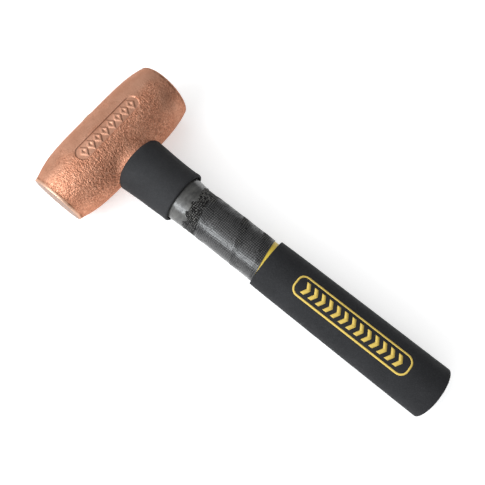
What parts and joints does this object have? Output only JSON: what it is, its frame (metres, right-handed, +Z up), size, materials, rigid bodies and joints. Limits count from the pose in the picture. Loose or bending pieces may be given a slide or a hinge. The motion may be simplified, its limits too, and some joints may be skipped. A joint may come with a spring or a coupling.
{
  "type": "soft-faced copper hammer",
  "caption": "Short hammer with a solid cast copper head, potted on a jacketed fibreglass handle with a woven wrap, an overstrike guard and a soft oval grip",
  "frame": {"origin": "On the surface that the hammer lies on, under the middle of its bounding box", "axes": "+X from the head towards the butt of the handle, +Y along the head from one striking face to the other, +Z up, away from the surface that it lies on"},
  "size_m": [0.3174, 0.1178, 0.0527],
  "materials": {
    "cast_copper": "sand-cast copper, pebbled and matte, with smooth machined faces",
    "fibreglass": "pultruded glass fibre, pale and slightly translucent",
    "epoxy": "cured amber potting resin",
    "seal_foam": "closed-cell foam",
    "yellow_jacket": "satin moulded yellow",
    "neck_resin": "smooth dark resin",
    "woven_wrap": "dark woven fabric set in clear resin, with a broken gloss",
    "black_rubber": "matte charcoal rubber"
  },
  "bodies": {
    "root": {"head": "cast_copper", "handle_core": "fibreglass", "eye_epoxy": "epoxy", "eye_seal": "seal_foam", "handle_jacket": "yellow_jacket", "neck_band": "neck_resin", "fabric_wrap": "woven_wrap", "overstrike_guard": "black_rubber", "grip_sleeve": "black_rubber"}
  },
  "joints": []
}
